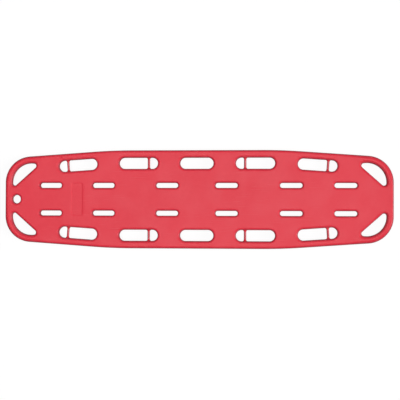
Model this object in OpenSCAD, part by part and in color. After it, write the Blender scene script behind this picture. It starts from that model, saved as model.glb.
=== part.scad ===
// Long spine board for carrying a patient lying flat: a foam-filled plastic moulding in two skins,
// stiffened by tubes, with strap pins moulded across its handholds.
// X runs along the board from the head end (-X) to the foot end (+X), Y across it, Z up.
// The origin is on the floor under the middle of the board. All sizes are in millimetres.

/* [Board] */
// Overall length, head end to foot end
board_l = 1840; // [1820:5:1880]
// Overall width over the side rails
board_w = 465; // [460:1:475]
// Overall height, floor to deck
board_h = 55; // [52:1:60]
// Depth of the hollow body, which stands on the runners
body_h = 37; // [34:1:40]
// Wall thickness of both skins
wall_t = 3; // [2.5:0.1:3.2]
// Extra thickness of the skins along every rim
rim_step = 4; // [2:0.5:5]
// Radius of the four corners, seen from above
corner_r = 125; // [120:1:128]
// Angle by which each side tapers in towards the ends
taper_angle = 4; // [3.5:0.1:4.2]
// Distance from mid-length to where the sides start to curve in
taper_start = 310; // [300:5:320]
// Radius of the curve that leads a side into its taper
taper_r = 2600; // [2500:50:2700]

/* [Strap slots] */
// Length of a strap slot, round end to round end
slot_l = 105; // [90:1:106]
// Width of a strap slot
slot_w = 23; // [18:1:24]
// Distance of both rows of slots from the centreline
slot_y = 65.8; // [64:0.1:66]
// Distance from mid-length to the nearest slots
slot_near_x = 141; // [130:0.5:150]
// Distance from mid-length to the middle slots
slot_mid_x = 445; // [440:0.5:450]
// Distance from mid-length to the farthest slots
slot_far_x = 699; // [690:0.5:700]

/* [Handholds] */
// Width of every handhold
hand_w = 52; // [48:1:53]
// Length of a handhold that a strap pin crosses
hand_l = 184; // [178:1:184]
// Length of the plain handhold at mid-length
mid_hand_l = 158; // [150:1:158]
// Distance of the plain and the near handholds from the centreline
near_hand_y = 170.5; // [170:0.5:172]
// Distance from mid-length to the near handholds
near_hand_x = 277; // [274:1:278]
// Distance of the far handholds from the centreline
far_hand_y = 161.5; // [161:0.5:162]
// Distance from mid-length to the far handholds
far_hand_x = 567.5; // [565:0.5:569]

/* [Corner grips] */
// Width of the rail outside a corner grip
corner_rail_w = 34; // [34:0.5:37]
// Angle of a grip's straight side to the board's width
grip_angle = 41.6; // [41:0.1:42]
// Distance of that straight side from the centre of the corner's curve
grip_chord = 39.5; // [38.5:0.5:41]
// Radius of a grip's two ends
grip_tip_r = 11; // [10:0.5:12]

/* [Strap pins] */
// Diameter of a strap pin
pin_d = 11.5; // [10:0.5:12.5]
// Distance of a pin from the middle of its handhold
pin_offset = 48.5; // [47:0.5:49]
// Length of each end of a pin that is held in the moulding
pin_grip = 15; // [12:1:16]
// Radius of the flare of the moulding round a pin's ends
pin_flare_r = 8.5; // [7:0.5:8.5]

/* [Hanging hole] */
// Diameter of the round hole at the head end
hang_d = 39.5; // [32:0.5:40]
// Distance of its centre from the head end
hang_inset = 54.5; // [54:0.5:62]

/* [Label panel] */
// Length of the sunk label panel, along the board
label_l = 50; // [48:1:60]
// Width of the label panel, across the board
label_w = 152; // [140:1:156]
// Distance from mid-length to the middle of the panel
label_x = 571; // [565:1:575]
// Depth of the panel below the deck
label_depth = 0.8; // [0.5:0.1:1.2]

/* [Runners] */
// Width of each of the two runners under the board
runner_w = 34; // [30:1:36]
// Length of a runner where it meets the body
runner_l = 1520; // [1480:10:1530]
// Length of the ramp at each end of a runner
ramp_l = 50; // [40:1:60]

/* [Stiffeners] */
// Outer diameter of the four stiffener tubes
tube_d = 22; // [18:1:23]
// Wall thickness of a tube
tube_wall = 2.5; // [1.5:0.1:3]
// Length of a tube
tube_l = 1560; // [1500:10:1570]
// Distance of the two outer tubes from the centreline
outer_tube_y = 104; // [102:1:106]
// Distance of the two inner tubes from the centreline
inner_tube_y = 26; // [25:1:30]
// Thickness of the head of a tube's end plug
tube_plug_head = 4; // [3:0.5:6]
// Length of the plug's spigot inside the tube
tube_plug_spigot = 16; // [10:1:24]

/* [Foam plugs] */
// Diameter of the hole that each foam plug closes
plug_d = 20; // [16:1:22]
// Diameter of a foam plug's flange
plug_flange_d = 30; // [26:1:32]
// Thickness of the flange
plug_flange_t = 1.5; // [1:0.1:2]
// Length of the plug's stem from the flange
plug_stem_l = 10; // [8:1:14]
// Distance from mid-length to the two vent plugs
vent_x = 790; // [770:5:795]

/* [Hidden] */
$fn = 96;
STATIONS = [1, 2, 3, 4];
SIDE_NAMES = ["left", "right"];
LANE_NAMES = ["outer", "inner"];
END_NAMES = ["head", "foot"];
PIN_NODES = [for (side = SIDE_NAMES) for (s = STATIONS) str("strap_pin_", side, "_", s)];
TUBE_NODES = [for (side = SIDE_NAMES) for (lane = LANE_NAMES) str("tube_", side, "_", lane)];
TUBE_PLUG_NODES = [for (tube = TUBE_NODES) for (end = END_NAMES) str(tube, "_plug_", end)];

moulding_colour = "crimson";
foam_colour = "wheat";
tube_colour = "dimgray";
plug_colour = "black";

// Heights
body_z = board_h - body_h;
parting_z = body_z + body_h / 2;
cavity_z = body_z + wall_t;
cavity_h = body_h - 2 * wall_t;
over = 1; // how far a cut runs past the face that it opens

// Plan of one quarter of the outline: flat side, blend curve, straight taper, corner
half_l = board_l / 2;
half_w = board_w / 2;
blend_end = [taper_start + taper_r * sin(taper_angle), half_w - taper_r * (1 - cos(taper_angle))];
corner_x = half_l - corner_r;
corner_y = blend_end.y - (corner_x - blend_end.x) * tan(taper_angle) - corner_r / cos(taper_angle);
corner_steps = 24;
blend_steps = 4;
tip_steps = 12;

// Runner ramps
ramp_angle = atan(body_z / ramp_l);

function lane_y(lane) = lane == "outer" ? outer_tube_y : inner_tube_y;
function side_sign(side) = side == "left" ? 1 : -1;
function end_sign(end) = end == "head" ? -1 : 1;
// Stations 1 and 4 are the far handholds, 2 and 3 the near ones; 1 and 2 are towards the head
function is_far(s) = s == 1 || s == 4;
function station_sign(s) = s < 3 ? -1 : 1;

// ---- outlines, seen from above; grow makes a hole larger, inset makes the board smaller ----

module stadium(length, width) {
    straight = length - width;
    square([straight, width], center = true);
    for (s = [-1, 1]) translate([s * straight / 2, 0]) circle(d = width);
}

module four_ways() {
    for (sx = [0, 1]) for (sy = [0, 1]) mirror([sx, 0]) mirror([0, sy]) children();
}

// Points of an arc, counter-clockwise from angle a to angle b in equal steps
function arc(centre, r, a, b, steps) =
    [for (i = [0:steps]) let (t = a + (b - a) * i / steps) centre + r * [cos(t), sin(t)]];

// The quarter of the outline with both X and Y positive, from the foot end round to mid-length
function quarter_outline(inset) = concat(
    arc([corner_x, corner_y], corner_r - inset, 0, 90 - taper_angle, corner_steps),
    arc([taper_start, half_w - taper_r], taper_r - inset, 90 - taper_angle, 90, blend_steps)
);
// The points of an arc without its two ends, which the arcs beside it give
function inner_points(points) = [for (i = [1:len(points) - 2]) points[i]];
function backwards(points) = [for (i = [len(points) - 1:-1:0]) points[i]];
function mirrored(points, sx, sy) = [for (p = points) [sx * p.x, sy * p.y]];

module outline(inset = 0) {
    quarter = quarter_outline(inset);
    polygon(concat(
        quarter,
        backwards(mirrored(quarter, -1, 1)),
        mirrored(quarter, -1, -1),
        backwards(mirrored(quarter, 1, -1))
    ));
}

// A half-moon: the corner's own curve outside, a straight side inside, round ends
module corner_grip(grow) {
    arc_r = corner_r - corner_rail_w;
    tip_out = grip_chord + grip_tip_r;
    tip_along = sqrt(pow(arc_r - grip_tip_r, 2) - pow(tip_out, 2));
    tip_angle = atan2(tip_out, tip_along);
    tip_r = grip_tip_r + grow;
    translate([corner_x, corner_y]) rotate(-grip_angle) polygon(concat(
        arc([tip_along, tip_out], tip_r, -90, tip_angle, tip_steps),
        inner_points(arc([0, 0], arc_r + grow, tip_angle, 180 - tip_angle, corner_steps)),
        arc([-tip_along, tip_out], tip_r, 180 - tip_angle, 270, tip_steps)
    ));
}

module strap_slots(grow) {
    four_ways() for (x = [slot_near_x, slot_mid_x, slot_far_x])
        translate([x, slot_y]) stadium(slot_l + 2 * grow, slot_w + 2 * grow);
}

module handholds(grow) {
    for (sy = [-1, 1])
        translate([0, sy * near_hand_y]) stadium(mid_hand_l + 2 * grow, hand_w + 2 * grow);
    four_ways() {
        translate([near_hand_x, near_hand_y])
            stadium(hand_l + 2 * grow, hand_w + 2 * grow);
        translate([far_hand_x, far_hand_y]) rotate(-taper_angle)
            stadium(hand_l + 2 * grow, hand_w + 2 * grow);
    }
}

module hanging_hole(grow) {
    translate([hang_inset - half_l, 0]) circle(d = hang_d + 2 * grow);
}

// The board's plan with every opening; inset measures inwards from the rim of each
module board_plan(inset = 0) {
    difference() {
        outline(inset);
        strap_slots(inset);
        handholds(inset);
        four_ways() corner_grip(inset);
        hanging_hole(inset);
    }
}

// ---- placing what crosses or fills the moulding ----

// Children are drawn at a pin's middle, with the pin along Y
module at_pin(station, side) {
    x = is_far(station) ? far_hand_x : near_hand_x;
    y = is_far(station) ? far_hand_y : near_hand_y;
    angle = is_far(station) ? taper_angle : 0;
    offset_x = is_far(station) ? pin_offset : -pin_offset;
    sx = station_sign(station);
    sy = side_sign(side);
    translate([sx * x, sy * y, parting_z]) rotate([0, 0, -sx * sy * angle])
        translate([sx * offset_x, 0, 0]) children();
}

// Children are drawn at the middle of a stiffener tube, with the tube along Z
module at_tube(side, lane) {
    translate([0, side_sign(side) * lane_y(lane), parting_z]) rotate([0, 90, 0]) children();
}

module pin_bodies() {
    for (side = SIDE_NAMES) for (s = STATIONS) at_pin(s, side) pin_rod();
}

module pin_rod() {
    rotate([90, 0, 0]) cylinder(h = hand_w + 2 * pin_grip, d = pin_d, center = true);
}

// Half of the flared bosses that the moulding forms round the ends of every pin.
// side_up is true for the halves above the parting line, false for those below it.
module pin_bosses(side_up) {
    root = wall_t / 2; // how far a boss reaches into its wall
    for (side = SIDE_NAMES) for (s = STATIONS) at_pin(s, side)
        mirror([0, 0, side_up ? 0 : 1]) for (end = [0, 1]) mirror([0, end, 0])
            translate([0, hand_w / 2 + root, 0]) rotate([90, 0, 0])
                rotate_extrude(angle = 180) difference() {
                    square([pin_d / 2 + pin_flare_r, pin_flare_r + root]);
                    translate([pin_d / 2 + pin_flare_r, pin_flare_r + root])
                        circle(r = pin_flare_r);
                }
}

module plug_stems() {
    for (x = [-vent_x, 0, vent_x]) translate([x, 0, body_z - over])
        cylinder(h = plug_stem_l - plug_flange_t + over, d = plug_d);
}

// One runner with its sloping ends; inset shrinks it on every side but its top
module runner(side, inset, top_z) {
    slope = inset / sin(ramp_angle);
    function ramp_at(z) = runner_l / 2 - ramp_l + ramp_l * z / body_z - slope;
    translate([0, side_sign(side) * outer_tube_y, 0]) rotate([90, 0, 0])
        linear_extrude(height = runner_w - 2 * inset, center = true)
            polygon([
                [-ramp_at(inset), inset],
                [ramp_at(inset), inset],
                [ramp_at(body_z), body_z],
                [ramp_at(body_z), top_z],
                [-ramp_at(body_z), top_z],
                [-ramp_at(body_z), body_z],
            ]);
}

// The space inside the moulding, which the foam fills. It steps in above and below, because
// the skins are thicker along every rim.
module cavity() {
    translate([0, 0, cavity_z + rim_step]) linear_extrude(height = cavity_h - 2 * rim_step)
        board_plan(wall_t);
    translate([0, 0, cavity_z]) linear_extrude(height = cavity_h)
        board_plan(wall_t + rim_step);
    for (side = SIDE_NAMES) runner(side, wall_t, cavity_z + over);
}

// ---- pieces ----

module deck_shell() {
    color(moulding_colour) difference() {
        union() {
            difference() {
                translate([0, 0, parting_z])
                    linear_extrude(height = board_h - parting_z) board_plan();
                cavity();
            }
            pin_bosses(true);
        }
        pin_bodies();
        translate([-label_x, 0, board_h])
            cube([label_l, label_w, 2 * label_depth], center = true);
    }
}

module base_shell() {
    color(moulding_colour) difference() {
        union() {
            difference() {
                union() {
                    translate([0, 0, body_z])
                        linear_extrude(height = parting_z - body_z) board_plan();
                    for (side = SIDE_NAMES) runner(side, 0, body_z + over);
                }
                cavity();
            }
            pin_bosses(false);
        }
        pin_bodies();
        plug_stems();
    }
}

module foam_core() {
    color(foam_colour) difference() {
        cavity();
        pin_bodies();
        plug_stems();
        for (side = SIDE_NAMES) for (lane = LANE_NAMES) at_tube(side, lane)
            cylinder(h = tube_l + 2 * tube_plug_head, d = tube_d, center = true);
    }
}

// A round bar across a handhold, held by the moulding at both ends
module strap_pin(station, side) {
    color(moulding_colour) at_pin(station, side) pin_rod();
}

module stiffener_tube(side, lane) {
    color(tube_colour) at_tube(side, lane) difference() {
        cylinder(h = tube_l, d = tube_d, center = true);
        cylinder(h = tube_l + 2 * over, d = tube_d - 2 * tube_wall, center = true);
    }
}

// Keeps the foam out of the end of a stiffener tube
module tube_plug(side, lane, end) {
    color(plug_colour) at_tube(side, lane) mirror([0, 0, end == "head" ? 1 : 0])
        translate([0, 0, tube_l / 2]) {
            cylinder(h = tube_plug_head, d = tube_d);
            translate([0, 0, -tube_plug_spigot])
                cylinder(h = tube_plug_spigot, d = tube_d - 2 * tube_wall);
        }
}

// Closes a hole in the underside that the foam was poured through or vented from
module foam_plug(x) {
    color(plug_colour) translate([x, 0, body_z - plug_flange_t]) {
        cylinder(h = plug_flange_t, d = plug_flange_d);
        cylinder(h = plug_stem_l, d = plug_d);
    }
}

deck_shell();
base_shell();
foam_core();
foam_plug(0);  // foam_fill_plug
foam_plug(-vent_x);  // vent_plug_head
foam_plug(vent_x);  // vent_plug_foot
for (side = SIDE_NAMES) for (s = STATIONS)
    strap_pin(s, side);
for (side = SIDE_NAMES) for (lane = LANE_NAMES)
    stiffener_tube(side, lane);
for (side = SIDE_NAMES) for (lane = LANE_NAMES) for (end = END_NAMES)
    tube_plug(side, lane, end);
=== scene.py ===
import math

import bmesh
import bpy
import numpy as np
from mathutils import Matrix, Vector
from mathutils.geometry import delaunay_2d_cdt

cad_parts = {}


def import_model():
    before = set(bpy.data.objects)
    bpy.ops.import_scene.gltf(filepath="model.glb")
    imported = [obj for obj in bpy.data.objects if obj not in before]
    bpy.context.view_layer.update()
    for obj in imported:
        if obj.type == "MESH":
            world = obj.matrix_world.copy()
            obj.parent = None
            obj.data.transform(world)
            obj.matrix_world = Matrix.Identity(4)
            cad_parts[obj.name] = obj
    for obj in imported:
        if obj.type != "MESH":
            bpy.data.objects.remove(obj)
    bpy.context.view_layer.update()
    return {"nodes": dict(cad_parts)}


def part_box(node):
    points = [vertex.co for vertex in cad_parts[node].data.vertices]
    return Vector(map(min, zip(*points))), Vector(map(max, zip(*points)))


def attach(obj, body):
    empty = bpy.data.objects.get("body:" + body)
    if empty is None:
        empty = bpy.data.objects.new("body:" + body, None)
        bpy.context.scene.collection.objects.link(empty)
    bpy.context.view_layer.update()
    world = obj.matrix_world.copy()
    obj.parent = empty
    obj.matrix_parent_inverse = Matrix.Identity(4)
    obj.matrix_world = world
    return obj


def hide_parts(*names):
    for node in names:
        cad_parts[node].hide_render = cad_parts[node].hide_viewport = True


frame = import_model()

# ---------------------------------------------------------------- sizes, in metres and degrees
# X runs from the head end to the foot end, Y across the board, Z up from the floor.

deck_low, deck_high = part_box("deck_shell")
HALF_L = deck_high.x
HALF_W = deck_high.y
DECK_Z = deck_high.z
PARTING_Z = deck_low.z
BODY_Z = 2 * PARTING_Z - DECK_Z  # the parting line is half-way up the hollow body
PLUGS = {}
for node in ("foam_fill_plug", "vent_plug_head", "vent_plug_foot"):
    plug_low, plug_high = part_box(node)
    PLUGS[node] = ((plug_low.x + plug_high.x) / 2, (plug_low.y + plug_high.y) / 2, plug_low.z)

CORNER_R = 0.125
TAPER = math.radians(4)
TAPER_START = 0.310
TAPER_R = 2.6

SLOT_L, SLOT_W, SLOT_Y = 0.105, 0.023, 0.0658
SLOT_XS = (0.141, 0.445, 0.699)
HAND_W, HAND_L, MID_HAND_L = 0.052, 0.184, 0.158
NEAR_HAND = (0.277, 0.1705)
FAR_HAND = (0.5675, 0.1615)
RAIL_W = 0.034
GRIP_ANGLE = math.radians(41.6)
GRIP_CHORD = 0.0395
GRIP_TIP_R = 0.011
QUARTERS = [(sx, sy) for sy in (1, -1) for sx in (-1, 1)]  # the signs of X and Y in each of them
HANG_R = 0.01975
HANG_X = -HALF_L + 0.0545
LABEL_X, LABEL_L, LABEL_W = -0.571, 0.050, 0.152
LABEL_R, LABEL_DEPTH = 0.006, 0.0008

PIN_R = 0.00575
PIN_GRIP = 0.015      # length of each of its ends inside the moulding
PIN_WAIST = 0.0003    # how much it thins towards its middle
PIN_SEAM = 0.00025    # height of the mould's seam along both of its sides
SEAM_SPREAD = 0.09    # half the seam's width, in radians
BOSS_FLARE = 0.0085   # reach of the flare round a pin's ends, along the board
BOSS_RISE = 0.0040    # its reach up and down
BOSS_LEVEL = 0.3      # its rim level
PLUG_R = 0.010

RUNNER_Y, RUNNER_W, RUNNER_L, RUNNER_R = 0.104, 0.034, 1.520, 0.010
RAMP_L = 0.050        # length of the slope at each end of a runner

WALL = 0.003          # skin thickness
DRAFT = 0.0005        # how far a wall leans back between the parting line and its rounded edge
# The rounding of an edge: how far it reaches along the face, and how far down the wall
DECK_EDGE = (0.011, 0.010)
DECK_SLOT_EDGE = (0.010, 0.009)
UNDER_EDGE = (0.009, 0.009)
UNDER_NARROW_EDGE = (0.0042, 0.0042)  # at the slots and the inner sides of the handholds
RAIL_EDGE = (0.0145, 0.0125)          # on the corner rails, which makes them tube-like
END_EDGE_W = 0.0125                   # its reach along both ends
RAIL_X = (0.70, 0.79)                 # where the outline's rounding turns into the rails', along X
END_Y = (0.035, 0.085)                # where the ends' rounding turns into the rails', along Y

STEP = 0.006          # spacing of points along straight and gently curved edges
FINE_STEP = 0.0022    # spacing round tight curves
CORNER_STEP = 0.004   # spacing round the board's corners
RAIL_STEP = 0.0035    # spacing along the inner side of a corner rail
GRID = 0.013          # spacing of the points across the deck and the underside
ROW_SHARE = 0.9       # how far apart the grid's rows are, as a share of its spacing


# ---------------------------------------------------------------- edges seen from above
# A rim is a closed loop of points with the material on its left, and the unit normals into it.

def line(a, b, step=STEP):
    a, b = np.array(a, float), np.array(b, float)
    along = b - a
    length = np.hypot(*along)
    count = max(int(round(length / step)), 1)
    t = np.arange(count)[:, None] / count
    normal = np.array([-along[1], along[0]]) / length
    return a + t * along, np.repeat(normal[None], count, 0)


def arc(centre, radius, start, end, step=FINE_STEP):
    """Angles in radians. The material is inside an arc that turns left, outside one that turns right."""
    count = max(int(round(abs(end - start) * radius / step)), 6)
    t = start + (end - start) * np.arange(count) / count
    out = np.stack([np.cos(t), np.sin(t)], 1)
    return np.array(centre, float) + radius * out, out * (-1 if end > start else 1)


def joined(pieces):
    return np.concatenate([p for p, _ in pieces]), np.concatenate([n for _, n in pieces])


def turned(rim, angle, centre):
    c, s = math.cos(angle), math.sin(angle)
    turn = np.array([[c, -s], [s, c]])
    return rim[0] @ turn.T + np.array(centre, float), rim[1] @ turn.T


def flipped(rim, sx, sy):
    """The mirror image, still with the material on the left. What else a rim has keeps its values."""
    points, normals, *rest = rim
    sign = np.array([sx, sy], float)
    order = slice(None, None, -1) if sx * sy < 0 else slice(None)
    return tuple(part[order] for part in (points * sign, normals * sign, *rest))


def stadium(length, width):
    r, half = width / 2, (length - width) / 2
    up = math.pi / 2
    return joined([
        line((-half, r), (half, r)),
        arc((half, 0), r, up, -up),
        line((half, -r), (-half, -r)),
        arc((-half, 0), r, -up, -3 * up),
    ])


def corner_centre():
    blend_x = TAPER_START + TAPER_R * math.sin(TAPER)
    blend_y = HALF_W - TAPER_R * (1 - math.cos(TAPER))
    x = HALF_L - CORNER_R
    y = blend_y - (x - blend_x) * math.tan(TAPER) - CORNER_R / math.cos(TAPER)
    return x, y


def outline():
    x, y = corner_centre()
    up = math.pi / 2
    lean = np.array([math.sin(TAPER), math.cos(TAPER)])
    corner_end = np.array([x, y]) + CORNER_R * lean
    blend_start = np.array([TAPER_START, HALF_W - TAPER_R]) + TAPER_R * lean
    quarter = joined([
        line((HALF_L, 0), (HALF_L, y)),
        arc((x, y), CORNER_R, 0, up - TAPER, CORNER_STEP),
        line(corner_end, blend_start),
        arc((TAPER_START, HALF_W - TAPER_R), TAPER_R, up - TAPER, up, STEP),
        line((TAPER_START, HALF_W), (0, HALF_W)),
    ])
    # a mirrored quarter runs the other way, so it gets the end point that this one lacks
    end_point, end_normal = np.array([[0, HALF_W]]), np.array([[0, -1.0]])
    longer = (np.append(quarter[0][1:], end_point, 0), np.append(quarter[1][1:], end_normal, 0))
    upper = joined([quarter, flipped(longer, -1, 1)])
    lower = (-upper[0], -upper[1])
    return joined([upper, lower])


def corner_grip():
    """A half-moon in the corner with both X and Y positive."""
    r_arc = CORNER_R - RAIL_W
    out = GRIP_CHORD + GRIP_TIP_R
    along = math.sqrt((r_arc - GRIP_TIP_R) ** 2 - out ** 2)
    tip = math.atan2(out, along)
    up = math.pi / 2
    local = joined([
        arc((0, 0), r_arc, math.pi - tip, tip, RAIL_STEP),
        arc((along, out), GRIP_TIP_R, tip, -up),
        line((along, GRIP_CHORD), (-along, GRIP_CHORD)),
        arc((-along, out), GRIP_TIP_R, 3 * up, math.pi - tip),
    ])
    return turned(local, -GRIP_ANGLE, corner_centre())


def smooth_between(x, low, high):
    t = np.clip((x - low) / (high - low), 0, 1)
    return t * t * (3 - 2 * t)


def slot_rims():
    return [turned(stadium(SLOT_L, SLOT_W), 0, (sx * x, sy * SLOT_Y))
            for sx, sy in QUARTERS for x in SLOT_XS]


def handhold_rims():
    rims = [turned(stadium(MID_HAND_L, HAND_W), 0, (0, sy * NEAR_HAND[1])) for sy in (1, -1)]
    pinned = stadium(HAND_L, HAND_W)
    for sx, sy in QUARTERS:
        rims.append(turned(pinned, 0, (sx * NEAR_HAND[0], sy * NEAR_HAND[1])))
        rims.append(turned(pinned, -sx * sy * TAPER, (sx * FAR_HAND[0], sy * FAR_HAND[1])))
    return rims


def hang_rim():
    return arc((HANG_X, 0), HANG_R, math.pi, -math.pi)


def with_edge(rim, edge, other=None, share=0.0):
    """A rim and how far its rounded edge reaches along the face and down the wall, at each point.
    share says how far each point goes from the one edge to the other."""
    other = other or edge
    width, drop = (np.broadcast_to(a + (b - a) * share, len(rim[0])) for a, b in zip(edge, other))
    return rim[0], rim[1], width, drop


def outline_edge(edge):
    points, normals = outline()
    x, y = abs(points[:, 0]), abs(points[:, 1])
    rail = smooth_between(x, *RAIL_X)
    points, normals, width, drop = with_edge((points, normals), edge, RAIL_EDGE, rail)
    end = rail * (1 - smooth_between(y, *END_Y))
    return points, normals, width + (END_EDGE_W - RAIL_EDGE[0]) * end, drop


def grip_edge(edge):
    """The rounding of a corner grip, which is larger on the side of the rail."""
    points, normals = corner_grip()
    outwards = points - corner_centre()
    reach = np.hypot(*outwards.T)
    facing_out = np.sum(normals * outwards, axis=1) / reach
    rail = smooth_between(reach / (CORNER_R - RAIL_W), 0.8, 1.0) * smooth_between(facing_out, -0.1, 0.9)
    return with_edge((points, normals), edge, RAIL_EDGE, rail)


def handhold_edge(rim, edge, inner_edge):
    """A handhold's rounded edge, which may be smaller on the side towards the middle of the board."""
    towards_middle = -rim[1][:, 1] * np.sign(rim[0][:, 1])
    return with_edge(rim, edge, inner_edge, smooth_between(towards_middle, 0.0, 0.9))


def all_rims(edge, slot_edge, inner_edge):
    """The outline first, then every opening through the board. The strap slots and the inner sides of
    the handholds have roundings of their own, because the runners are close beside them underneath."""
    rims = [outline_edge(edge), with_edge(hang_rim(), edge)]
    rims += [with_edge(rim, slot_edge) for rim in slot_rims()]
    rims += [handhold_edge(rim, edge, inner_edge) for rim in handhold_rims()]
    grip = grip_edge(edge)
    return rims + [flipped(grip, sx, sy) for sx, sy in QUARTERS]


# ---------------------------------------------------------------- mesh building

class Builder:
    """Collects vertices and faces, and hands out the index of every vertex.

    A vertex's rim level goes from 0 on a flat face to 1 on the wall at a face's edge, and steers the
    painted shade and the wear along the edges of the red plastic."""

    def __init__(self):
        self.points, self.faces, self.rim_level, self.count = [], [], [], 0

    def add(self, xy, z, rim_level=0.0):
        n = len(xy)
        z = np.broadcast_to(z, n)
        self.points.append(np.column_stack([xy, z]))
        self.rim_level.append(np.broadcast_to(float(rim_level), n))
        self.count += n
        return np.arange(self.count - n, self.count)

    def bridge(self, a, b):
        """Quads between two closed rings of the same length."""
        self.faces += np.column_stack([a, np.roll(a, -1), np.roll(b, -1), b]).tolist()

    def bridge_all(self, rings):
        for a, b in zip(rings, rings[1:]):
            self.bridge(a, b)

    def solid(self, points, faces, rim_level=0.0):
        """A closed solid that overlaps the skin it belongs to."""
        first = self.add(points[:, :2], points[:, 2], rim_level)[0]
        self.faces += [[first + i for i in face] for face in faces]

    def fill(self, rings, extra=None, extra_ids=None):
        """Triangles over the area that the first ring bounds and the others cut out of."""
        ids = np.concatenate(rings)
        everything = np.concatenate(self.points)
        flat = everything[ids, :2]
        edges, start = [], 0
        for ring in rings:
            n = len(ring)
            edges += [(start + i, start + (i + 1) % n) for i in range(n)]
            start += n
        if extra is not None and len(extra):
            flat = np.concatenate([flat, extra])
            ids = np.concatenate([ids, extra_ids])
        out = delaunay_2d_cdt([Vector(p) for p in flat], edges, [], 0, 1e-9)
        places = np.array([tuple(v) for v in out[0]])
        source = np.array([ids[o[0]] for o in out[3]])
        tris = np.array(out[2])
        inside = inside_rings(places[tris].mean(axis=1), [flat[slice(*s)] for s in spans(rings)])
        self.faces += source[tris[inside]].tolist()

    def build(self, name):
        mesh = bpy.data.meshes.new(name)
        mesh.from_pydata(np.concatenate(self.points).tolist(), [], self.faces)
        level = mesh.attributes.new("rim_level", "FLOAT", "POINT")
        level.data.foreach_set("value", np.concatenate(self.rim_level).astype(np.float32))
        return finished(name, mesh)


def spans(rings):
    """The first and the last place of each ring in a list that holds them one after another."""
    ends = np.cumsum([0] + [len(r) for r in rings])
    return list(zip(ends[:-1], ends[1:]))


def batches(count, size):
    """Slices that go through a list a part at a time, so that large comparisons fit in memory."""
    return [slice(start, start + size) for start in range(0, count, size)]


def inside_rings(points, rings):
    """Which points are inside the first ring and outside the others, by counting crossings."""
    odd = np.zeros(len(points), bool)
    for ring in rings:
        a, b = ring, np.roll(ring, -1, axis=0)
        slope = (b[:, 0] - a[:, 0]) / np.where(b[:, 1] == a[:, 1], 1, b[:, 1] - a[:, 1])
        for part in batches(len(points), 4000):
            x, y = points[part, :1], points[part, 1:]
            spans_y = (a[:, 1] > y) != (b[:, 1] > y)
            crossed = spans_y & (x < a[:, 0] + (y - a[:, 1]) * slope)
            odd[part] ^= crossed.sum(axis=1) % 2 == 1
    return odd


def finished(name, mesh):
    """An object from a mesh, with its faces turned outwards and shaded smooth."""
    bm = bmesh.new()
    bm.from_mesh(mesh)
    bmesh.ops.recalc_face_normals(bm, faces=bm.faces)
    bm.to_mesh(mesh)
    bm.free()
    mesh.shade_smooth()
    obj = bpy.data.objects.new(name, mesh)
    bpy.context.scene.collection.objects.link(obj)
    return obj


def grid_points(rings, spacing, clear):
    """Staggered points inside the first ring, clear of every ring."""
    rows = int(HALF_W / (spacing * ROW_SHARE)) + 1
    columns = int(HALF_L / spacing) + 1
    points = np.array([
        ((i + 0.5 * (j % 2)) * spacing, j * spacing * ROW_SHARE)
        for j in range(-rows, rows + 1) for i in range(-columns, columns + 1)
    ])
    points = points[inside_rings(points, rings)]
    rim = np.concatenate(rings)
    nearest = np.empty(len(points))
    for part in batches(len(points), 1000):
        apart = points[part, None, :] - rim[None]
        nearest[part] = np.sqrt((apart ** 2).sum(axis=2).min(axis=1))
    keep = nearest > clear
    return points[keep], nearest[keep]


def unevenness(xy):
    """The slight waviness of a large moulded face, from -1 to 1."""
    x, y = xy[:, 0], xy[:, 1]
    return (
        0.45 * np.sin(7.1 * x + 0.6) * np.cos(9.3 * y + 0.2)
        + 0.30 * np.sin(17.3 * x - 8.7 * y + 1.9)
        + 0.25 * np.cos(12.9 * x + 21.1 * y - 0.7)
    )


EDGE_STEPS = [math.radians(a) for a in (0, 10, 20, 31, 43, 56, 70, 90)]
INNER_STEPS = [math.radians(a) for a in (0, 30, 60, 90)]
QUARTER_TURN = [math.radians(a) for a in (0, 22, 45, 68, 90)]
LIP, LIP_H = 0.0007, 0.0010   # the small groove where the two skins meet
GUARD = 0.0010                # a last flat ring, which keeps the face's shading flat
WAVE = 0.00018                # height of the face's unevenness
WAVE_FADE = 0.04              # distance from an edge over which it begins


def rim_rings(builder, rim, face_z, side):
    """One rim's rings on the outer surface, from the parting line to the flat face."""
    points, normals, width, drop = rim
    # how far each ring is into the material, its height, and its rim level
    rows = [
        (np.full(len(points), LIP), np.full(len(points), PARTING_Z), 0.5),
        (np.zeros(len(points)), np.full(len(points), PARTING_Z + side * LIP_H), 0.8),
    ]
    for angle in EDGE_STEPS:
        rows.append((
            DRAFT + width * (1 - math.cos(angle)),
            face_z - side * drop * (1 - math.sin(angle)),
            1 - 0.9 * angle / (math.pi / 2),
        ))
    rows.append((DRAFT + width + GUARD, np.full(len(points), face_z), 0.0))
    rings = [builder.add(points + normals * o[:, None], z, level) for o, z, level in rows]
    builder.bridge_all(rings)
    return rings


def inner_rings(builder, rim, face_z, side):
    """One rim's rings on the skin's inner surface."""
    points, normals, width, drop = rim
    rows = [(np.full(len(points), WALL), np.full(len(points), PARTING_Z))]
    for angle in INNER_STEPS:
        rows.append((
            DRAFT + width - (width - WALL) * math.cos(angle),
            face_z - side * (drop - (drop - WALL) * math.sin(angle)),
        ))
    rings = [builder.add(points + normals * o[:, None], z) for o, z in rows]
    builder.bridge_all(rings)
    return rings


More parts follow.
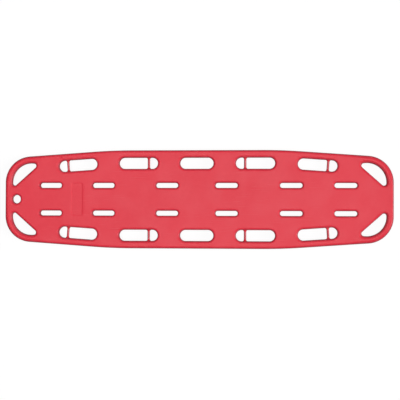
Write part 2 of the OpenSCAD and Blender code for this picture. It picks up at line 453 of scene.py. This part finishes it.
def rounded_rect(half_x, half_y, radius, counts):
    """A loop of points with a fixed number on each side and corner, so that loops of any size match.
    counts has those of the two sides along X, the two along Y, and the corners."""
    x_side_n, y_side_n, corner_n = counts
    x, y = half_x - radius, half_y - radius
    points = []
    corners = [(x, y, 0), (-x, y, 90), (-x, -y, 180), (x, -y, 270)]
    sides = [x_side_n, y_side_n, x_side_n, y_side_n]
    for k, (cx, cy, turn) in enumerate(corners):
        for i in range(corner_n + 1):
            t = math.radians(turn + 90 * i / corner_n)
            points.append((cx + radius * math.cos(t), cy + radius * math.sin(t)))
        nx, ny, n_turn = corners[(k + 1) % 4]
        t = math.radians(n_turn)
        end = (nx + radius * math.cos(t), ny + radius * math.sin(t))
        start = points[-1]
        for i in range(1, sides[k]):
            f = i / sides[k]
            points.append((start[0] + (end[0] - start[0]) * f, start[1] + (end[1] - start[1]) * f))
    return np.array(points)


def label_rings(builder):
    """The sunk panel in the deck: a soft step down to its floor. Returns (outer ring, floor ring)."""
    # how far each ring is outside the panel, its share of the depth, and its rim level
    rows = [(0.0016, 0.0, 0.0), (0.0010, 0.12, 0.1), (0.0004, 0.4, 0.2), (0.0, 0.75, 0.2),
            (-0.0005, 1.0, 0.1), (-0.0016, 1.0, 0.0)]
    counts = (10, 26, 6)
    rings = []
    for grow, share, level in rows:
        loop = rounded_rect(LABEL_L / 2 + grow, LABEL_W / 2 + grow, LABEL_R + grow, counts)
        rings.append(builder.add(loop + (LABEL_X, 0), DECK_Z - share * LABEL_DEPTH, level))
    builder.bridge_all(rings)
    return rings[0], rings[-1]


def runner_loop(z, inset):
    """A runner's outline at a height: its ends slope, so it is shorter lower down."""
    ramp = RAMP_L * (1 - z / BODY_Z)
    radius = RUNNER_R - 0.6 * inset
    counts = (180, 3, 6)
    return rounded_rect(RUNNER_L / 2 - ramp - inset, RUNNER_W / 2 - inset, radius, counts)


def runner_rings(builder, side_y):
    """One runner, from its root on the underside to its flat foot. Returns (root ring, foot ring)."""
    root_r, foot_r, draft = 0.003, 0.005, 0.0012
    rows = []
    for turn in QUARTER_TURN:
        rows.append((root_r * (math.sin(turn) - 1), BODY_Z - root_r * (1 - math.cos(turn)), 0.2))
    for turn in QUARTER_TURN:
        rows.append((draft + foot_r * (1 - math.cos(turn)), foot_r * (1 - math.sin(turn)), 0.5))
    rows.append((draft + foot_r + GUARD, 0.0, 0.0))
    rings = [builder.add(runner_loop(z, inset) + (0, side_y), z, level) for inset, z, level in rows]
    builder.bridge_all(rings)
    return rings[0], rings[-1]


def runner_hollow(builder, side_y):
    """The space inside a runner, which the foam fills. Returns (opening ring, floor ring)."""
    end_wall = 0.0045  # measured along the board, where the ramps make a level cut through them longer
    rows = [(WALL, BODY_Z + WALL), (WALL, BODY_Z), (end_wall, WALL)]
    rings = [builder.add(runner_loop(min(z, BODY_Z), inset) + (0, side_y), z) for inset, z in rows]
    builder.bridge_all(rings)
    return rings[0], rings[-1]


def plug_hole(builder, x):
    """A hole through the underside for a foam plug. Returns (ring outside, ring inside)."""
    segments = 40
    turns = 2 * math.pi * np.arange(segments) / segments
    loop = PLUG_R * np.column_stack([np.cos(turns), np.sin(turns)]) + (x, 0)
    rings = [builder.add(loop, BODY_Z, 0.3), builder.add(loop, BODY_Z + WALL)]
    builder.bridge_all(rings)
    return rings


def face_with_grid(builder, rings, face_z, wave):
    """A large face between rings, with points across it that give it a slight unevenness."""
    corners = np.concatenate(builder.points)[:, :2]
    extra, nearest = grid_points([corners[ring] for ring in rings], GRID, 0.45 * GRID)
    fade = smooth_between(nearest, 0.0, WAVE_FADE)
    ids = builder.add(extra, face_z + wave * fade * unevenness(extra))
    builder.fill(rings, extra, ids)


# ---------------------------------------------------------------- turned shapes

def revolved(profile, segments, sweep=2 * math.pi, flatten=None, seam=0.0):
    """Points and faces of a solid turned about Z, from (radius, height) pairs that run from axis to axis.
    flatten(radius) gives the radius along Y, and seam is the height of a ridge along both sides."""
    whole = sweep == 2 * math.pi
    turns = sweep * np.arange(segments + (not whole)) / segments
    ridge = seam * np.exp(-(np.sin(turns) / SEAM_SPREAD) ** 2)
    points, rings = [], []
    for radius, height in profile:
        start = len(points)
        if radius == 0:
            points.append((0, 0, height))
        else:
            across = flatten(radius) if flatten else radius
            points += [((radius + bump) * math.cos(turn), across * math.sin(turn), height)
                       for turn, bump in zip(turns, ridge)]
        rings.append(range(start, len(points)))
    faces = []
    for a, b in zip(rings, rings[1:]):
        for i in range(len(turns)):
            j = (i + 1) % len(turns)
            quad = [a[i % len(a)], a[j % len(a)], b[j % len(b)], b[i % len(b)]]
            face = list(dict.fromkeys(quad))
            if len(face) > 2:
                faces.append(face)
    return np.array(points, float), faces


def along_y(points, centre, angle, up=1):
    """A turned shape's points once it is laid over, with its axis along Y, and then turned about Z."""
    c, s = math.cos(angle), math.sin(angle)
    x, y = points[:, 0], points[:, 2]
    return np.column_stack([c * x - s * y, s * x + c * y, up * points[:, 1]]) + centre


def turned_piece(name, points, faces):
    mesh = bpy.data.meshes.new(name)
    mesh.from_pydata(points.tolist(), [], faces)
    return finished(name, mesh)


def pin_places():
    """The middle and the turn of every strap pin, by its CAD node's name."""
    places = {}
    for side, sy in (("left", 1), ("right", -1)):
        for station, sx in ((1, -1), (2, -1), (3, 1), (4, 1)):
            node = f"strap_pin_{side}_{station}"
            low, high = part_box(node)
            turn = -sx * sy * TAPER if station in (1, 4) else 0.0
            places[node] = (np.array((low + high) / 2), turn)
    return places


PINS = pin_places()


def boss_profile():
    """Half of a flared boss, from inside the handhold's wall to where the pin leaves it."""
    wall, root, foot = HAND_W / 2 + DRAFT, WALL / 2, PIN_R + BOSS_FLARE
    rows = [(0, wall + root), (foot, wall + root), (foot, wall)]
    steps = 8
    for i in range(1, steps + 1):
        turn = math.radians(86) * i / steps
        rows.append((foot - BOSS_FLARE * math.sin(turn), wall - BOSS_FLARE * (1 - math.cos(turn))))
    return rows + [(0, rows[-1][1])]


def add_bosses(builder, up):
    """The halves of the bosses that one skin forms round the ends of every pin."""
    rise = BOSS_RISE / BOSS_FLARE
    points, faces = revolved(boss_profile(), 24, math.pi, lambda r: PIN_R + (r - PIN_R) * rise)
    for centre, turn in PINS.values():
        for half_turn in (0, math.pi):
            builder.solid(along_y(points, centre, turn + half_turn, up), faces, BOSS_LEVEL)


# ---------------------------------------------------------------- the moulding

def add_rims(builder, rims, face_z, side):
    """A skin's rounded edges and walls along every rim, outside and inside, joined at the parting line.
    Returns the rings that bound its two flat faces: the outer face's, and the inner one's."""
    outer, inner = [], []
    for rim in rims:
        outer_wall = rim_rings(builder, rim, face_z, side)
        inner_wall = inner_rings(builder, rim, face_z, side)
        builder.bridge(outer_wall[0], inner_wall[0])
        outer.append(outer_wall[-1])
        inner.append(inner_wall[-1])
    return outer, inner


def deck_skin():
    b = Builder()
    outer, inner = add_rims(b, all_rims(DECK_EDGE, DECK_SLOT_EDGE, DECK_EDGE), DECK_Z, 1)
    label_top, label_floor = label_rings(b)
    face_with_grid(b, outer + [label_top], DECK_Z, WAVE)
    b.fill([label_floor])
    b.fill(inner)
    add_bosses(b, 1)
    return b.build("deck_skin")


def base_skin():
    b = Builder()
    rims = all_rims(UNDER_EDGE, UNDER_NARROW_EDGE, UNDER_NARROW_EDGE)
    outer, inner = add_rims(b, rims, BODY_Z, -1)
    runners = [runner_rings(b, y) for y in (RUNNER_Y, -RUNNER_Y)]
    hollows = [runner_hollow(b, y) for y in (RUNNER_Y, -RUNNER_Y)]
    holes = [plug_hole(b, x) for x, _, _ in PLUGS.values()]
    below = outer + [root for root, _ in runners] + [outside for outside, _ in holes]
    above = inner + [top for top, _ in hollows] + [inside for _, inside in holes]
    face_with_grid(b, below, BODY_Z, -WAVE)
    b.fill(above)
    for _, flat in runners + hollows:
        b.fill([flat])
    add_bosses(b, -1)
    return b.build("base_skin")


def pin(name, centre, turn):
    """A strap pin: a round bar that thins a little towards its middle, with the mould's seam along it."""
    half, chamfer, steps = HAND_W / 2 + PIN_GRIP, 0.001, 12
    rows = [(0, -half), (PIN_R - chamfer, -half), (PIN_R, chamfer - half)]
    for i in range(1, steps):
        y = (half - chamfer) * (2 * i / steps - 1)
        rows.append((PIN_R - PIN_WAIST * (1 - (y / half) ** 2), y))
    rows += [(PIN_R, half - chamfer), (PIN_R - chamfer, half), (0, half)]
    points, faces = revolved(rows, 64, seam=PIN_SEAM)
    return turned_piece(name, along_y(points, centre, turn), faces)


def plug(name, node):
    """A foam plug: a stem with a lead-in, and a flange below it with a round edge and a dished middle."""
    low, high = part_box(node)
    top = high.z - low.z
    stem_r, lead_in = PLUG_R - 0.0002, 0.002
    flange_r, flange_t, edge = (high.x - low.x) / 2, 0.0015, 0.0009
    rows = [(0, top), (PLUG_R - lead_in, top), (stem_r, top - lead_in), (stem_r, flange_t)]
    rows.append((flange_r, flange_t))
    for turn in QUARTER_TURN:
        rows.append((flange_r - edge * (1 - math.cos(turn)), edge * (1 - math.sin(turn))))
    dish_r, dish_depth, dish_lip = 0.0065, 0.0010, 0.0006
    rows += [(dish_r + dish_lip, 0), (dish_r, dish_lip * 0.4), (dish_r - dish_lip, dish_depth)]
    nub_r, nub_slope, nub_h = 0.0012, 0.0004, 0.0004  # what the mould's gate leaves in the middle
    rows += [(nub_r + nub_slope, dish_depth), (nub_r, dish_depth - 0.0003), (0, dish_depth - nub_h)]
    points, faces = revolved(rows, 48)
    return turned_piece(name, points + PLUGS[node], faces)


deck = deck_skin()
base = base_skin()
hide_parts("deck_shell")
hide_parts("base_shell")
pins = {node: pin("moulded_" + node.replace("strap_", ""), *spot) for node, spot in PINS.items()}
plugs = {node: plug(node + "_turned", node) for node in PLUGS}
for node, piece in [*pins.items(), *plugs.items()]:
    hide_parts(node)


# ---------------------------------------------------------------- materials

class Look:
    """A material being made: a Principled shader and the nodes that feed it."""

    def __init__(self, name, **sockets):
        self.material = bpy.data.materials.new(name)
        self.material.use_nodes = True
        self.tree = self.material.node_tree
        self.shader = self.tree.nodes["Principled BSDF"]
        for key, value in sockets.items():
            self.shader.inputs[key.replace("_", " ")].default_value = value
        self.place = self.node("ShaderNodeTexCoord").outputs["Object"]
        self.normal = None

    def node(self, kind, inputs=None, **settings):
        made = self.tree.nodes.new(kind)
        for key, value in settings.items():
            setattr(made, key, value)
        for key, value in (inputs or {}).items():
            if isinstance(value, bpy.types.NodeSocket):
                self.tree.links.new(value, made.inputs[key])
            elif value is not None:
                made.inputs[key].default_value = value
        return made

    def noise(self, scale, detail=2.0, stretch=(1, 1, 1), turn=0.0):
        """Noise from 0 to 1 with features about 1/scale metres across, longer where stretch is below 1."""
        where = self.node("ShaderNodeMapping", {"Vector": self.place, "Scale": stretch})
        where.inputs["Rotation"].default_value = (0, 0, turn)
        inputs = {"Vector": where.outputs[0], "Scale": scale, "Detail": detail}
        return self.node("ShaderNodeTexNoise", inputs).outputs[0]

    def cells(self, scale, feature="F1"):
        made = self.node("ShaderNodeTexVoronoi", {"Vector": self.place, "Scale": scale}, feature=feature)
        return made.outputs["Distance"]

    def remap(self, value, low, high, to_low=0.0, to_high=1.0):
        made = self.node(
            "ShaderNodeMapRange",
            {"Value": value, "From Min": low, "From Max": high, "To Min": to_low, "To Max": to_high},
            interpolation_type="SMOOTHSTEP",
        )
        return made.outputs[0]

    def product(self, a, b):
        return self.node("ShaderNodeMath", {0: a, 1: b}, operation="MULTIPLY").outputs[0]

    def total(self, a, b):
        return self.node("ShaderNodeMath", {0: a, 1: b}, operation="ADD").outputs[0]

    def mix(self, factor, a, b):
        """Colour a where factor is 0, and b where it is 1."""
        a, b = (c if isinstance(c, bpy.types.NodeSocket) else (*c, 1) for c in (a, b))
        return self.node("ShaderNodeMix", {0: factor, 6: a, 7: b}, data_type="RGBA").outputs[2]

    def bump(self, height, depth):
        """Raises the surface by depth metres where height is 1."""
        made = self.node("ShaderNodeBump", {"Height": height, "Distance": depth, "Normal": self.normal})
        self.normal = made.outputs[0]

    def done(self, colour, roughness):
        self.tree.links.new(colour, self.shader.inputs["Base Color"])
        self.tree.links.new(roughness, self.shader.inputs["Roughness"])
        self.tree.links.new(self.normal, self.shader.inputs["Normal"])
        return self.material


def moulded_red():
    """Satin polyethylene, as it comes from the mould, with light scuffs from use, and painted shade along
    its edges.
    """
    look = Look("moulded_red", IOR=1.52, Specular_IOR_Level=0.275)
    deep_red, bright_red = (0.722, 0.0140, 0.0360), (0.748, 0.0175, 0.0405)
    # the dark, greyish red meant for the edges is painted shade, not a colour of the plastic
    pale_red, speck_red, edge_shade_red = (0.765, 0.0235, 0.0465), (0.56, 0.020, 0.036), (0.35, 0.080, 0.100)
    worn_red, scuffed_red = (0.86, 0.27, 0.28), (0.88, 0.30, 0.31)

    drift = look.remap(look.noise(2.3, 1.5), 0.3, 0.7)
    mottle = look.remap(look.noise(62, 3), 0.3, 0.7)
    specks = look.remap(look.cells(420), 0.0, 0.16, 1.0, 0.0)
    colour = look.mix(drift, deep_red, bright_red)
    colour = look.mix(look.product(mottle, 0.35), colour, pale_red)
    colour = look.mix(look.product(specks, 0.25), colour, speck_red)

    # painted shade: edges are darkest on their rounding and at the parting line, less so on the wall
    # between
    rim = look.node("ShaderNodeAttribute", attribute_name="rim_level").outputs["Fac"]
    patches = look.remap(look.noise(34, 4), 0.46, 0.66)
    wear = look.product(look.product(rim, patches), 0.16)
    shade = look.product(look.remap(rim, 0.16, 0.75), look.remap(rim, 0.85, 1.0, 0.56, 0.26))
    colour = look.mix(shade, colour, edge_shade_red)
    colour = look.mix(wear, colour, worn_red)

    scuffs = None
    for turn, scale in ((0.12, 210), (-0.35, 260), (1.45, 240)):
        lines = look.remap(look.noise(scale, 1.0, (0.035, 1, 1), turn), 0.70, 0.76)
        scuffs = lines if scuffs is None else look.total(scuffs, lines)
    where = look.remap(look.noise(5.5, 2), 0.44, 0.62)
    scuffs = look.product(scuffs, where)
    colour = look.mix(look.product(scuffs, 0.10), colour, scuffed_red)

    peel = look.noise(95, 2)
    grain = look.noise(850, 3)
    look.bump(peel, 0.00022)
    look.bump(grain, 0.00005)
    look.bump(scuffs, -0.00004)
    satin = look.remap(look.noise(13, 3), 0.3, 0.7, 0.385, 0.425)
    return look.done(colour, look.total(satin, look.product(look.total(scuffs, wear), 0.12)))


def pin_red():
    """The same plastic, a little smoother and painted darker for the shade in the handholds, with flow
    lines along the pin.
    """
    look = Look("pin_red", IOR=1.52)
    # painted shade: both reds are darker than the skin's, for the shade that the pins lie in
    deep_red, bright_red, rubbed_red = (0.500, 0.0260, 0.0460), (0.560, 0.0330, 0.0540), (0.86, 0.26, 0.27)
    flow = look.remap(look.noise(520, 2, (1, 0.05, 1)), 0.3, 0.7)
    rubbed = look.remap(look.noise(70, 4), 0.52, 0.68)
    colour = look.mix(flow, deep_red, bright_red)
    colour = look.mix(look.product(rubbed, 0.10), colour, rubbed_red)
    look.bump(flow, 0.00005)
    look.bump(look.noise(800, 2), 0.00003)
    return look.done(colour, look.remap(look.noise(40, 3), 0.3, 0.7, 0.32, 0.42))


def cream_foam():
    """Closed-cell polyurethane foam: fine cells, with larger bubbles here and there."""
    look = Look("cream_foam", IOR=1.35)
    tan, cream = (0.78, 0.62, 0.36), (0.84, 0.71, 0.46)
    # painted shade: the floors of the larger bubbles are darker, for the shade in these hollows
    cell_wall, shaded_bubble_floor = (0.60, 0.45, 0.24), (0.52, 0.37, 0.18)
    drift = look.remap(look.noise(6, 3), 0.3, 0.7)
    cell = look.remap(look.cells(1100), 0.0, 0.7)
    bubble = look.remap(look.cells(140), 0.02, 0.16)
    colour = look.mix(drift, tan, cream)
    colour = look.mix(look.product(cell, 0.5), colour, cell_wall)
    colour = look.mix(bubble, shaded_bubble_floor, colour)
    look.bump(bubble, 0.0009)
    look.bump(cell, -0.00035)
    return look.done(colour, look.remap(cell, 0.0, 1.0, 0.78, 0.92))


def glass_fibre():
    """Pultruded tube: long fibres in dark resin, and the weave of its surface veil."""
    look = Look("glass_fibre", IOR=1.55, Coat_Weight=0.25, Coat_Roughness=0.22)
    resin, fibre_grey, veil_grey = (0.060, 0.061, 0.066), (0.135, 0.137, 0.142), (0.19, 0.19, 0.19)
    fibres = look.remap(look.noise(900, 3, (0.012, 1, 1)), 0.35, 0.65)
    veil = look.remap(look.cells(260, "DISTANCE_TO_EDGE"), 0.0, 0.12)
    colour = look.mix(fibres, resin, fibre_grey)
    colour = look.mix(look.product(veil, 0.25), veil_grey, colour)
    look.bump(fibres, 0.00006)
    look.bump(veil, 0.00004)
    return look.done(colour, look.remap(fibres, 0.0, 1.0, 0.36, 0.52))


def black_plastic(name, roughness):
    """Plain moulded black polyethylene with a fine grain and dusty, rubbed patches."""
    look = Look(name, IOR=1.5)
    black, faded_black, dust_grey = (0.024, 0.024, 0.026), (0.034, 0.034, 0.036), (0.080, 0.077, 0.074)
    drift = look.remap(look.noise(9, 2), 0.3, 0.7)
    dust = look.remap(look.noise(48, 4), 0.42, 0.70)
    colour = look.mix(drift, black, faded_black)
    colour = look.mix(look.product(dust, 0.30), colour, dust_grey)
    look.bump(look.noise(620, 3), 0.00006)
    look.bump(look.noise(110, 2), 0.00008)
    satin = look.remap(dust, 0, 1, roughness, roughness + 0.06)
    return look.done(colour, look.total(look.product(dust, 0.15), satin))


def dress(piece, material):
    piece.data.materials.clear()
    piece.data.materials.append(material)
    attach(piece, "root")


def redress(obj, material):
    """A CAD node keeps its shape and place, and gets a better material."""
    for holder in obj.material_slots:
        holder.material = material


red = moulded_red()
for skin in (deck, base):
    dress(skin, red)
bar_red = pin_red()
for bar in pins.values():
    dress(bar, bar_red)
plug_black = black_plastic("plug_black", 0.40)
for stopper in plugs.values():
    dress(stopper, plug_black)

redress(frame["nodes"]["foam_core"], cream_foam())
fibre = glass_fibre()
tube_black = black_plastic("tube_plug_black", 0.46)
for node, obj in frame["nodes"].items():
    if node.startswith("tube_"):
        redress(obj, tube_black if "_plug_" in node else fibre)


# ---------------------------------------------------------------- floor, light and camera

def studio():
    """A pale floor and a round wall far behind it. Both glow, so that they stay white in soft shadow.
    Only the camera sees them: the light that they would throw back is part of the world's."""
    look = Look("studio_white", Roughness=0.9, Specular_IOR_Level=0.0, Emission_Strength=0.93)
    look.shader.inputs["Base Color"].default_value = (0.08, 0.08, 0.08, 1)
    look.shader.inputs["Emission Color"].default_value = (1, 1, 1, 1)
    radius, floor_z, top_z, count = 30.0, -0.0002, 12.0, 96
    turns = [2 * math.pi * i / count for i in range(count)]
    ring = [(radius * math.cos(t), radius * math.sin(t)) for t in turns]
    points = [(x, y, z) for z in (floor_z, top_z) for x, y in ring]
    wall = [(i, (i + 1) % count, count + (i + 1) % count, count + i) for i in range(count)]
    for name, faces in (("studio_floor", [range(count)]), ("studio_wall", wall)):
        mesh = bpy.data.meshes.new(name)
        mesh.from_pydata(points, [], [tuple(face) for face in faces])
        mesh.materials.append(look.material)
        obj = bpy.data.objects.new(name, mesh)
        bpy.context.scene.collection.objects.link(obj)
        obj.visible_diffuse = obj.visible_glossy = obj.visible_shadow = False


def world(below, above):
    """Soft light that is brightest straight above, and faint from the sides and from below."""
    made = bpy.data.worlds.new("studio")
    made.use_nodes = True
    bpy.context.scene.world = made
    nodes, links = made.node_tree.nodes, made.node_tree.links
    direction = nodes.new("ShaderNodeTexCoord").outputs["Generated"]
    split = nodes.new("ShaderNodeSeparateXYZ")
    links.new(direction, split.inputs[0])
    ramp = nodes.new("ShaderNodeMapRange")
    ramp.interpolation_type = "SMOOTHSTEP"
    limits = {"From Min": -0.05, "From Max": 1.0, "To Min": below, "To Max": above}
    for key, value in limits.items():
        ramp.inputs[key].default_value = value
    links.new(split.outputs["Z"], ramp.inputs["Value"])
    back = nodes["Background"]
    back.inputs["Color"].default_value = (1, 1, 1, 1)
    links.new(ramp.outputs[0], back.inputs["Strength"])


def far_light(name, lean_x, lean_y, spread, strength):
    """A soft light far away, leaning from straight above towards +X and +Y."""
    data = bpy.data.lights.new(name, "SUN")
    data.angle = math.radians(spread)
    data.energy = strength
    obj = bpy.data.objects.new(name, data)
    bpy.context.scene.collection.objects.link(obj)
    obj.rotation_mode = "QUATERNION"
    obj.rotation_quaternion = Vector((-lean_x, -lean_y, -1)).to_track_quat("-Z", "Y")


def camera():
    """Looks almost straight down, from above the foot half, with the head end on the left."""
    eye = Vector((0.558, -0.105, 5.62))
    back = Vector((0.0972, -0.0183, 1)).normalized()
    up = (Vector((0, 1, 0)) - back * back.y).normalized()
    roll_angle = 0.0032
    roll = Matrix.Rotation(roll_angle, 3, back)
    data = bpy.data.cameras.new("camera")
    data.sensor_width = 36
    data.lens = 106.95
    obj = bpy.data.objects.new("camera", data)
    bpy.context.scene.collection.objects.link(obj)
    axes = Matrix((roll @ up.cross(back), roll @ up, back)).transposed()
    obj.matrix_world = Matrix.Translation(eye) @ axes.to_4x4()
    bpy.context.scene.camera = obj


world(below=0.13, above=0.26)
studio()
far_light("top_light", lean_x=-0.06, lean_y=0.0, spread=24, strength=1.15)
far_light("side_light", lean_x=1.4, lean_y=-0.15, spread=30, strength=2.05)
camera()
bpy.context.scene.view_settings.view_transform = "Standard"
bpy.context.scene.view_settings.look = "None"
